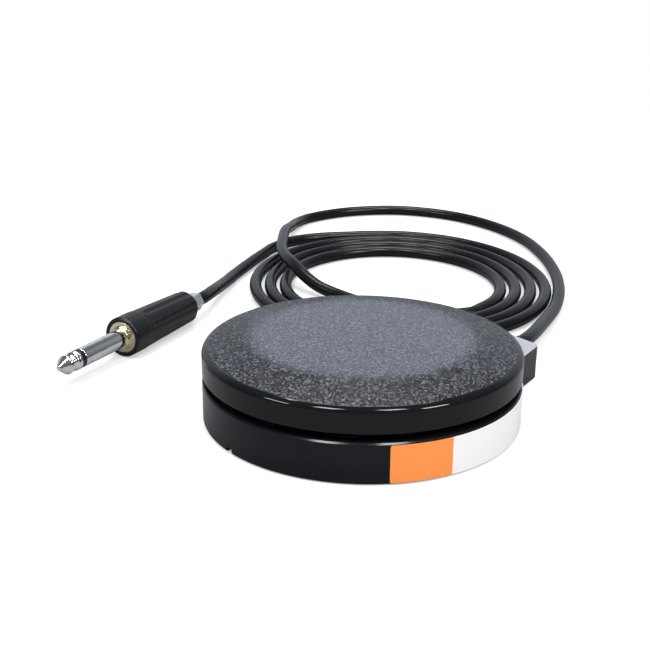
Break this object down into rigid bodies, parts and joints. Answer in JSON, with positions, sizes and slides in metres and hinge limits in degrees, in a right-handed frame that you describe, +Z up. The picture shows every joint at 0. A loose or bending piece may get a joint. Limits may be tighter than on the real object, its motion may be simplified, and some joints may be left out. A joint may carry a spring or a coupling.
{
  "type": "foot pedal switch",
  "caption": "Round low foot pedal switch: a grained black cap on sprung guides over a shallow base, with a side outlet, a coiled cord and a phone plug.",
  "frame": {"origin": "on the floor under the axis of the round base, at the underside of the non-slip pad", "axes": "+Z up along the cap's travel, +Y from the axis through the cord outlet, +X to its right"},
  "size_m": [0.2422, 0.2562, 0.0256],
  "materials": {
    "base_plastic": "satin black moulded plastic",
    "cap_plastic": "polished black rim with a fine leather grain on top",
    "pad_rubber": "matt black non-slip rubber",
    "soft_rubber": "smooth black",
    "label_film": "printed vinyl, one orange and one white field",
    "cord_jacket": "satin black cord jacket",
    "plated_steel": "zinc plated",
    "screw_steel": "zinc plated",
    "lever_steel": "plain stainless strip",
    "spring_steel": "drawn wire",
    "lead_white": "insulated wire",
    "lead_red": "insulated wire",
    "switch_plastic": "moulded thermoset",
    "button_plastic": "moulded",
    "contact_brass": "bare stamped",
    "plug_chrome": "bright nickel",
    "plug_insulation": "moulded black",
    "collar_brass": "polished",
    "handle_plastic": "satin black moulded plastic",
    "liner_plastic": "clear insulating sleeve"
  },
  "bodies": {
    "base": {"base_housing": "base_plastic", "nonslip_pad": "pad_rubber", "side_label": "label_film", "cord_grommet": "soft_rubber", "cord_in_base": "cord_jacket", "cord_clamp": "plated_steel", "clamp_screws": "screw_steel", "common_lead": "lead_white", "signal_lead": "lead_red", "switch_case": "switch_plastic", "switch_cover": "switch_plastic", "switch_screws": "screw_steel", "common_terminal": "contact_brass", "open_terminal": "contact_brass", "closed_terminal": "contact_brass", "lever_pin": "plated_steel", "cord_run": "cord_jacket", "cord_coil": "cord_jacket", "cord_tail": "cord_jacket", "plug_tip": "plug_chrome", "plug_insulator": "plug_insulation", "plug_sleeve": "plug_chrome", "plug_collar": "collar_brass", "plug_handle": "handle_plastic", "plug_liner": "liner_plastic", "plug_ferrule": "plug_chrome", "ground_lug": "plated_steel", "tip_lug": "plated_steel", "cord_in_plug": "cord_jacket", "return_springs": "spring_steel"},
    "pedal": {"pedal_cap": "cap_plastic", "cap_screws": "screw_steel", "cap_washers": "plated_steel"},
    "lever": {"switch_lever": "lever_steel"},
    "button": {"switch_button": "button_plastic"},
    "blade": {"switch_blade": "contact_brass"}
  },
  "joints": [
    {"name": "pedal_press", "type": "slide", "parent": "base", "child": "pedal", "axis": [0, 0, 1], "range_m": [-0.0018, 0], "stiffness_N_per_m": 2900, "springref_m": 0.003, "deforming": ["return_springs"]},
    {"name": "lever_swing", "type": "hinge", "parent": "base", "child": "lever", "pos_m": [-0.0125, 0, 0.0182], "axis": [0, 1, 0], "range_deg": [0, 8.26]},
    {"name": "button_press", "type": "slide", "parent": "base", "child": "button", "axis": [0, 0, 1], "range_m": [-0.00065, 0]},
    {"name": "blade_swing", "type": "hinge", "parent": "base", "child": "blade", "pos_m": [0.00335, 0, 0.01429], "axis": [0, -1, 0], "range_deg": [0, 3.28]}
  ],
  "couplings": [
    {"joint": "lever_swing", "follows": "pedal_press", "rad_per_m": -80},
    {"joint": "button_press", "follows": "pedal_press", "ratio": 0.36},
    {"joint": "blade_swing", "follows": "pedal_press", "rad_per_m": -31.718}
  ]
}
